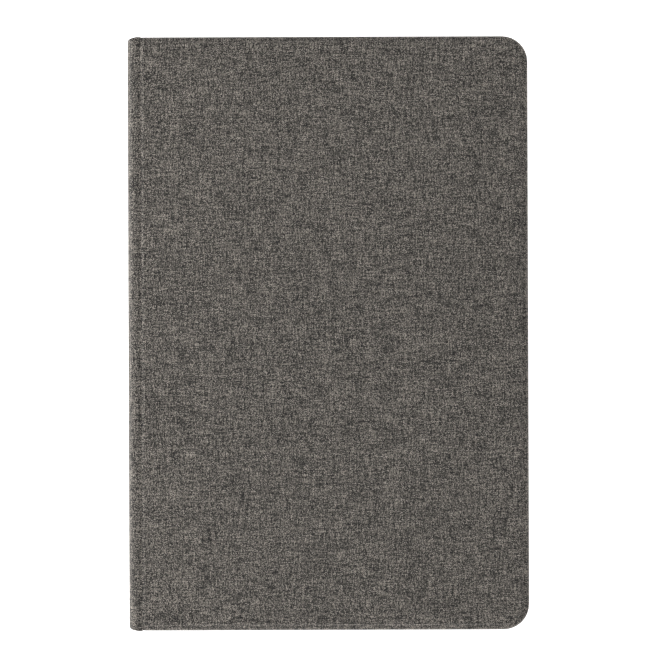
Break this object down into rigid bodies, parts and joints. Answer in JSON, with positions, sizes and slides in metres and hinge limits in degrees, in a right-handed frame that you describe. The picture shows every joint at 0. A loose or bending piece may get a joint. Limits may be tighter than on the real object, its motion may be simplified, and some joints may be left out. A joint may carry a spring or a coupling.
{
  "type": "tablet keyboard case",
  "caption": "Fabric folio case for a tablet with a fold-out kickstand, a moulded tablet tray and a thin wireless keyboard inside the front cover.",
  "frame": {"origin": "under the middle of the closed case, on the plane that it lies on", "axes": "+X from the spine to the free edge, +Y along the spine to the user's left end of the keyboard, +Z from the rear cover to the front cover"},
  "size_m": [0.171, 0.254, 0.0229],
  "materials": {
    "outer_fabric": "heathered grey plain weave, matte, laminated to a thin backing",
    "microfibre": "dark grey brushed microfibre",
    "fibre_board": "grey fibre board, uncoated",
    "tray_plastic": "soft-touch moulded polyurethane",
    "strip_plastic": "flexible polypropylene strip",
    "bezel_plastic": "fine satin moulded polycarbonate",
    "housing_plastic": "fine spark-eroded texture, moulded ABS",
    "key_plastic": "matt moulded ABS keycap",
    "control_plastic": "satin moulded ABS",
    "dome_rubber": "silicone dome sheet",
    "battery_foil": "pouch cell foil",
    "circuit_resin": "green solder mask on glass-fibre laminate",
    "magnet_steel": "nickel plated magnet"
  },
  "bodies": {
    "rear_cover": {"rear_skin": "outer_fabric", "rear_board": "fibre_board", "rear_lining": "microfibre", "tablet_tray": "tray_plastic", "camera_bezel": "bezel_plastic"},
    "spine": {"spine_skin": "outer_fabric", "spine_strip": "strip_plastic", "spine_lining": "microfibre"},
    "front_cover": {"front_skin": "outer_fabric", "front_board": "fibre_board", "front_lining": "microfibre", "closure_magnet": "magnet_steel", "keyboard_base": "housing_plastic", "keyboard_deck": "housing_plastic", "dome_sheet": "dome_rubber", "battery": "battery_foil", "circuit_board": "circuit_resin"},
    "kickstand": {"kickstand_skin": "outer_fabric", "kickstand_board": "fibre_board"},
    "power_switch": {"power_switch": "control_plastic"},
    "pairing_button": {"pairing_button": "control_plastic"},
    "function_key_row": {"function_key_row": "key_plastic"},
    "number_key_row": {"number_key_row": "key_plastic"},
    "modifier_keys": {"modifier_keys": "key_plastic"},
    "arrow_keys": {"arrow_keys": "key_plastic"},
    "key_tab": {"key_tab": "key_plastic"},
    "key_q": {"key_q": "key_plastic"},
    "key_w": {"key_w": "key_plastic"},
    "key_e": {"key_e": "key_plastic"},
    "key_r": {"key_r": "key_plastic"},
    "key_t": {"key_t": "key_plastic"},
    "key_y": {"key_y": "key_plastic"},
    "key_u": {"key_u": "key_plastic"},
    "key_i": {"key_i": "key_plastic"},
    "key_o": {"key_o": "key_plastic"},
    "key_p": {"key_p": "key_plastic"},
    "key_backspace": {"key_backspace": "key_plastic"},
    "key_caps_lock": {"key_caps_lock": "key_plastic"},
    "key_a": {"key_a": "key_plastic"},
    "key_s": {"key_s": "key_plastic"},
    "key_d": {"key_d": "key_plastic"},
    "key_f": {"key_f": "key_plastic"},
    "key_g": {"key_g": "key_plastic"},
    "key_h": {"key_h": "key_plastic"},
    "key_j": {"key_j": "key_plastic"},
    "key_k": {"key_k": "key_plastic"},
    "key_l": {"key_l": "key_plastic"},
    "key_enter": {"key_enter": "key_plastic"},
    "key_left_shift": {"key_left_shift": "key_plastic"},
    "key_z": {"key_z": "key_plastic"},
    "key_x": {"key_x": "key_plastic"},
    "key_c": {"key_c": "key_plastic"},
    "key_v": {"key_v": "key_plastic"},
    "key_b": {"key_b": "key_plastic"},
    "key_n": {"key_n": "key_plastic"},
    "key_m": {"key_m": "key_plastic"},
    "key_comma": {"key_comma": "key_plastic"},
    "key_period": {"key_period": "key_plastic"},
    "key_right_shift": {"key_right_shift": "key_plastic"},
    "key_space": {"key_space": "key_plastic"}
  },
  "joints": [
    {"name": "spine_crease", "type": "hinge", "parent": "rear_cover", "child": "spine", "pos_m": [-0.0807, 0, 0], "axis": [0, -1, 0], "range_deg": [0, 90]},
    {"name": "front_crease", "type": "hinge", "parent": "spine", "child": "front_cover", "pos_m": [-0.0807, 0, 0.0229], "axis": [0, -1, 0], "range_deg": [0, 90]},
    {"name": "kickstand_fold", "type": "hinge", "parent": "rear_cover", "child": "kickstand", "pos_m": [0.0024, 0, 0], "axis": [0, -1, 0], "range_deg": [0, 60]},
    {"name": "power_switch_slide", "type": "slide", "parent": "front_cover", "child": "power_switch", "axis": [0, -1, 0], "range_m": [0, 0.002]},
    {"name": "pairing_button_press", "type": "slide", "parent": "front_cover", "child": "pairing_button", "axis": [0, 0, 1], "range_m": [0, 0.0006], "stiffness_N_per_m": 300},
    {"name": "function_key_row_press", "type": "slide", "parent": "front_cover", "child": "function_key_row", "axis": [0, 0, 1], "range_m": [0, 0.0014], "stiffness_N_per_m": 150},
    {"name": "number_key_row_press", "type": "slide", "parent": "front_cover", "child": "number_key_row", "axis": [0, 0, 1], "range_m": [0, 0.0014], "stiffness_N_per_m": 150},
    {"name": "modifier_keys_press", "type": "slide", "parent": "front_cover", "child": "modifier_keys", "axis": [0, 0, 1], "range_m": [0, 0.0014], "stiffness_N_per_m": 150},
    {"name": "arrow_keys_press", "type": "slide", "parent": "front_cover", "child": "arrow_keys", "axis": [0, 0, 1], "range_m": [0, 0.0014], "stiffness_N_per_m": 150},
    {"name": "key_tab_press", "type": "slide", "parent": "front_cover", "child": "key_tab", "axis": [0, 0, 1], "range_m": [0, 0.0014], "stiffness_N_per_m": 150},
    {"name": "key_q_press", "type": "slide", "parent": "front_cover", "child": "key_q", "axis": [0, 0, 1], "range_m": [0, 0.0014], "stiffness_N_per_m": 150},
    {"name": "key_w_press", "type": "slide", "parent": "front_cover", "child": "key_w", "axis": [0, 0, 1], "range_m": [0, 0.0014], "stiffness_N_per_m": 150},
    {"name": "key_e_press", "type": "slide", "parent": "front_cover", "child": "key_e", "axis": [0, 0, 1], "range_m": [0, 0.0014], "stiffness_N_per_m": 150},
    {"name": "key_r_press", "type": "slide", "parent": "front_cover", "child": "key_r", "axis": [0, 0, 1], "range_m": [0, 0.0014], "stiffness_N_per_m": 150},
    {"name": "key_t_press", "type": "slide", "parent": "front_cover", "child": "key_t", "axis": [0, 0, 1], "range_m": [0, 0.0014], "stiffness_N_per_m": 150},
    {"name": "key_y_press", "type": "slide", "parent": "front_cover", "child": "key_y", "axis": [0, 0, 1], "range_m": [0, 0.0014], "stiffness_N_per_m": 150},
    {"name": "key_u_press", "type": "slide", "parent": "front_cover", "child": "key_u", "axis": [0, 0, 1], "range_m": [0, 0.0014], "stiffness_N_per_m": 150},
    {"name": "key_i_press", "type": "slide", "parent": "front_cover", "child": "key_i", "axis": [0, 0, 1], "range_m": [0, 0.0014], "stiffness_N_per_m": 150},
    {"name": "key_o_press", "type": "slide", "parent": "front_cover", "child": "key_o", "axis": [0, 0, 1], "range_m": [0, 0.0014], "stiffness_N_per_m": 150},
    {"name": "key_p_press", "type": "slide", "parent": "front_cover", "child": "key_p", "axis": [0, 0, 1], "range_m": [0, 0.0014], "stiffness_N_per_m": 150},
    {"name": "key_backspace_press", "type": "slide", "parent": "front_cover", "child": "key_backspace", "axis": [0, 0, 1], "range_m": [0, 0.0014], "stiffness_N_per_m": 150},
    {"name": "key_caps_lock_press", "type": "slide", "parent": "front_cover", "child": "key_caps_lock", "axis": [0, 0, 1], "range_m": [0, 0.0014], "stiffness_N_per_m": 150},
    {"name": "key_a_press", "type": "slide", "parent": "front_cover", "child": "key_a", "axis": [0, 0, 1], "range_m": [0, 0.0014], "stiffness_N_per_m": 150},
    {"name": "key_s_press", "type": "slide", "parent": "front_cover", "child": "key_s", "axis": [0, 0, 1], "range_m": [0, 0.0014], "stiffness_N_per_m": 150},
    {"name": "key_d_press", "type": "slide", "parent": "front_cover", "child": "key_d", "axis": [0, 0, 1], "range_m": [0, 0.0014], "stiffness_N_per_m": 150},
    {"name": "key_f_press", "type": "slide", "parent": "front_cover", "child": "key_f", "axis": [0, 0, 1], "range_m": [0, 0.0014], "stiffness_N_per_m": 150},
    {"name": "key_g_press", "type": "slide", "parent": "front_cover", "child": "key_g", "axis": [0, 0, 1], "range_m": [0, 0.0014], "stiffness_N_per_m": 150},
    {"name": "key_h_press", "type": "slide", "parent": "front_cover", "child": "key_h", "axis": [0, 0, 1], "range_m": [0, 0.0014], "stiffness_N_per_m": 150},
    {"name": "key_j_press", "type": "slide", "parent": "front_cover", "child": "key_j", "axis": [0, 0, 1], "range_m": [0, 0.0014], "stiffness_N_per_m": 150},
    {"name": "key_k_press", "type": "slide", "parent": "front_cover", "child": "key_k", "axis": [0, 0, 1], "range_m": [0, 0.0014], "stiffness_N_per_m": 150},
    {"name": "key_l_press", "type": "slide", "parent": "front_cover", "child": "key_l", "axis": [0, 0, 1], "range_m": [0, 0.0014], "stiffness_N_per_m": 150},
    {"name": "key_enter_press", "type": "slide", "parent": "front_cover", "child": "key_enter", "axis": [0, 0, 1], "range_m": [0, 0.0014], "stiffness_N_per_m": 150},
    {"name": "key_left_shift_press", "type": "slide", "parent": "front_cover", "child": "key_left_shift", "axis": [0, 0, 1], "range_m": [0, 0.0014], "stiffness_N_per_m": 150},
    {"name": "key_z_press", "type": "slide", "parent": "front_cover", "child": "key_z", "axis": [0, 0, 1], "range_m": [0, 0.0014], "stiffness_N_per_m": 150},
    {"name": "key_x_press", "type": "slide", "parent": "front_cover", "child": "key_x", "axis": [0, 0, 1], "range_m": [0, 0.0014], "stiffness_N_per_m": 150},
    {"name": "key_c_press", "type": "slide", "parent": "front_cover", "child": "key_c", "axis": [0, 0, 1], "range_m": [0, 0.0014], "stiffness_N_per_m": 150},
    {"name": "key_v_press", "type": "slide", "parent": "front_cover", "child": "key_v", "axis": [0, 0, 1], "range_m": [0, 0.0014], "stiffness_N_per_m": 150},
    {"name": "key_b_press", "type": "slide", "parent": "front_cover", "child": "key_b", "axis": [0, 0, 1], "range_m": [0, 0.0014], "stiffness_N_per_m": 150},
    {"name": "key_n_press", "type": "slide", "parent": "front_cover", "child": "key_n", "axis": [0, 0, 1], "range_m": [0, 0.0014], "stiffness_N_per_m": 150},
    {"name": "key_m_press", "type": "slide", "parent": "front_cover", "child": "key_m", "axis": [0, 0, 1], "range_m": [0, 0.0014], "stiffness_N_per_m": 150},
    {"name": "key_comma_press", "type": "slide", "parent": "front_cover", "child": "key_comma", "axis": [0, 0, 1], "range_m": [0, 0.0014], "stiffness_N_per_m": 150},
    {"name": "key_period_press", "type": "slide", "parent": "front_cover", "child": "key_period", "axis": [0, 0, 1], "range_m": [0, 0.0014], "stiffness_N_per_m": 150},
    {"name": "key_right_shift_press", "type": "slide", "parent": "front_cover", "child": "key_right_shift", "axis": [0, 0, 1], "range_m": [0, 0.0014], "stiffness_N_per_m": 150},
    {"name": "key_space_press", "type": "slide", "parent": "front_cover", "child": "key_space", "axis": [0, 0, 1], "range_m": [0, 0.0014], "stiffness_N_per_m": 150}
  ]
}
